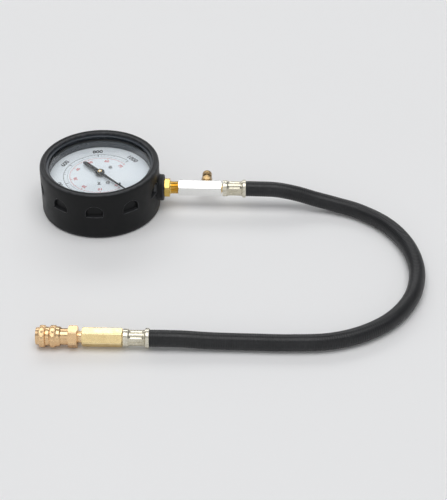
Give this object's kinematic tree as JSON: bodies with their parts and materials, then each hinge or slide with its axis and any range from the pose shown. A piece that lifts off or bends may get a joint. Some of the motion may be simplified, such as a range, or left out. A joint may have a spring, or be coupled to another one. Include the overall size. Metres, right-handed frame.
{
  "type": "compression tester gauge",
  "caption": "Pressure gauge in a rubber boot with a hex manifold, bleed valve, crimped rubber hose and quick coupler, for testing engine compression.",
  "frame": {"origin": "centre of the boot's flat back face, which lies on the surface", "axes": "+Z out of the dial, +X along the stem towards the hose, +Y away from the hose's far end"},
  "size_m": [0.2932, 0.2229, 0.04],
  "materials": {
    "rubber": "satin moulded",
    "hose_rubber": "fabric-wrapped satin",
    "case_black": "satin black",
    "lens_clear": "clear polished",
    "dial_white": "matt printed",
    "pointer_black": "satin",
    "brass": "turned",
    "phosphor_bronze": "drawn",
    "nickel": "bright nickel plated",
    "ferrule_nickel": "crimped, plated",
    "steel": "bright",
    "seal_rubber": "matt"
  },
  "bodies": {
    "head": {"boot": "rubber", "hose": "hose_rubber", "gauge_case": "case_black", "bezel_ring": "case_black", "lens": "lens_clear", "dial": "dial_white", "stem_socket": "brass", "movement_back_plate": "brass", "movement_front_plate": "brass", "movement_pillar_1": "brass", "movement_pillar_2": "brass", "hairspring_stud": "brass", "bleed_valve_body": "brass", "hose_nipple": "brass", "far_hex_bar": "brass", "coupler_body": "brass", "bourdon_tube": "phosphor_bronze", "hairspring": "phosphor_bronze", "manifold": "nickel", "gauge_ferrule": "ferrule_nickel", "far_ferrule": "ferrule_nickel", "case_screw_1": "steel", "case_screw_2": "steel", "movement_screw_1": "steel", "movement_screw_2": "steel", "dial_screw_1": "steel", "dial_screw_2": "steel", "zero_stop_pin": "steel", "bleed_spring": "steel", "sleeve_spring": "steel", "retaining_ring": "steel", "lock_ball_1": "steel", "lock_ball_2": "steel", "lock_ball_3": "steel", "lock_ball_4": "steel", "lens_gasket": "seal_rubber", "relief_plug": "seal_rubber", "socket_o_ring": "seal_rubber"},
    "sector": {"sector_gear": "brass", "sector_arbor": "steel", "link_pin": "steel"},
    "pointer": {"pinion_arbor": "steel", "pointer": "pointer_black", "pointer_bush": "brass"},
    "tube_tip": {"tube_tip": "brass", "link": "brass", "tip_screw": "steel"},
    "bleed_button": {"bleed_button": "brass", "bleed_stem": "brass", "bleed_seal": "seal_rubber"},
    "coupler_sleeve": {"coupler_sleeve": "brass"}
  },
  "joints": [
    {"name": "tube_tip_shift", "type": "slide", "parent": "head", "child": "tube_tip", "axis": [0, 1, 0], "range_m": [0, 0.0039], "stiffness_N_per_m": 250, "deforming": ["bourdon_tube"]},
    {"name": "sector_turn", "type": "hinge", "parent": "head", "child": "sector", "pos_m": [0.01803, 0, 0.022], "axis": [0, 0, 1], "range_deg": [0, 41.54]},
    {"name": "pointer_turn", "type": "hinge", "parent": "head", "child": "pointer", "pos_m": [0, 0, 0.03], "axis": [0, 0, 1], "range_deg": [-270, 0], "deforming": ["hairspring"]},
    {"name": "bleed_press", "type": "slide", "parent": "head", "child": "bleed_button", "axis": [0, -1, 0], "range_m": [0, 0.0017], "stiffness_N_per_m": 900, "deforming": ["bleed_spring"]},
    {"name": "sleeve_draw", "type": "slide", "parent": "head", "child": "coupler_sleeve", "axis": [1, 0, 0], "range_m": [0, 0.0035], "stiffness_N_per_m": 1500, "deforming": ["sleeve_spring"]}
  ],
  "couplings": [
    {"joint": "sector_turn", "follows": "tube_tip_shift", "rad_per_m": 185.89},
    {"joint": "pointer_turn", "follows": "tube_tip_shift", "rad_per_m": -1208.3}
  ]
}
